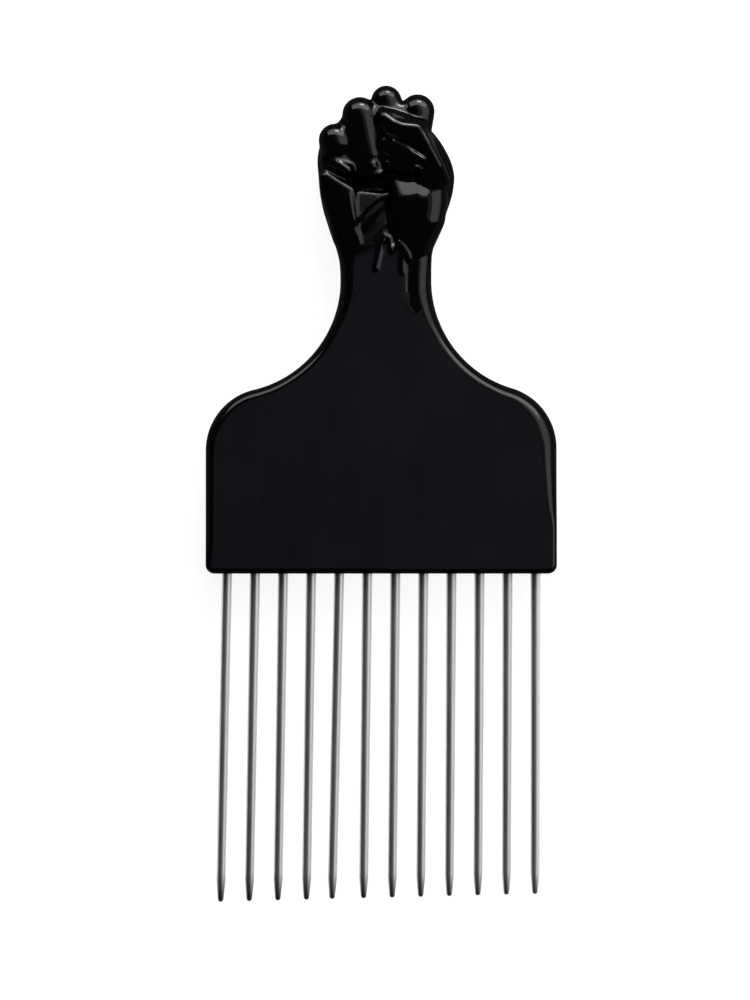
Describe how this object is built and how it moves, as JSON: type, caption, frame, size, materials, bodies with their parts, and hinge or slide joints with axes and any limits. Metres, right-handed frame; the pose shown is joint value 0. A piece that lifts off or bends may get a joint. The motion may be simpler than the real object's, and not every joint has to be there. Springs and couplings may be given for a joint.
{
  "type": "afro pick",
  "caption": "Flat hair pick: a black moulded handle with rounded shoulders that narrows to a raised clenched fist, and a row of long straight blunt steel tines for lifting thick curly hair.",
  "frame": {"origin": "under the middle of the whole pick, on the plane of its flat back", "axes": "+X across the blade to the right seen from the front, +Y along the pick towards the fist, +Z out of the blade's front; the pick lies on its back"},
  "size_m": [0.071, 0.165, 0.0154],
  "materials": {
    "handle_plastic": "black moulded plastic, polished on the fist and the rounded edges, satin on the flat faces",
    "tine_steel": "bright drawn steel wire, ground at the point"
  },
  "bodies": {
    "root": {"handle": "handle_plastic", "tine_01": "tine_steel", "tine_02": "tine_steel", "tine_03": "tine_steel", "tine_04": "tine_steel", "tine_05": "tine_steel", "tine_06": "tine_steel", "tine_07": "tine_steel", "tine_08": "tine_steel", "tine_09": "tine_steel", "tine_10": "tine_steel", "tine_11": "tine_steel", "tine_12": "tine_steel"}
  },
  "joints": []
}
